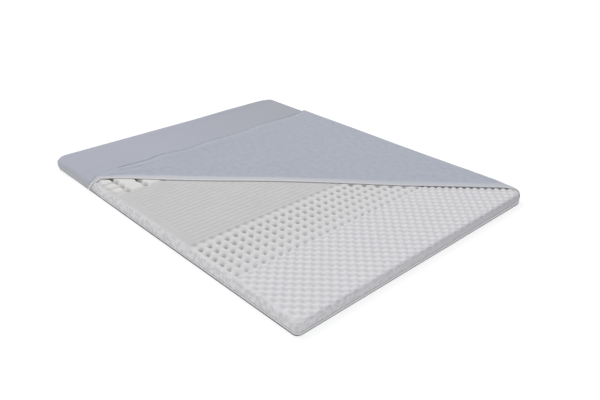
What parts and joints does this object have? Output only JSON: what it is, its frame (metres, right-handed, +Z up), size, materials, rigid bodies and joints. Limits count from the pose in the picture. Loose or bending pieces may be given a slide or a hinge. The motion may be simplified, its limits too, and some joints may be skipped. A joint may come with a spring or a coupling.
{
  "type": "mattress topper",
  "caption": "Zoned foam mattress topper; its zip-off cover is opened at one long and one short side and turned back on a diagonal, baring the profiled foam.",
  "frame": {"origin": "middle of the underside of the topper's main block, on the surface it lies on", "axes": "+X across the width, away from the opened long side; +Y along the length, away from the egg-crate foot zone; +Z up"},
  "size_m": [1.6417, 2.0027, 0.0708],
  "materials": {
    "foam": "matte open-cell foam",
    "cover_cloth": "matte knit",
    "base_cloth": "matte knit",
    "zip_tape": "matte woven tape with moulded teeth"
  },
  "bodies": {
    "root": {"foam_core": "foam", "cover_base": "base_cloth", "cover_top": "cover_cloth", "zip_lower": "zip_tape", "zip_upper": "zip_tape"}
  },
  "joints": []
}
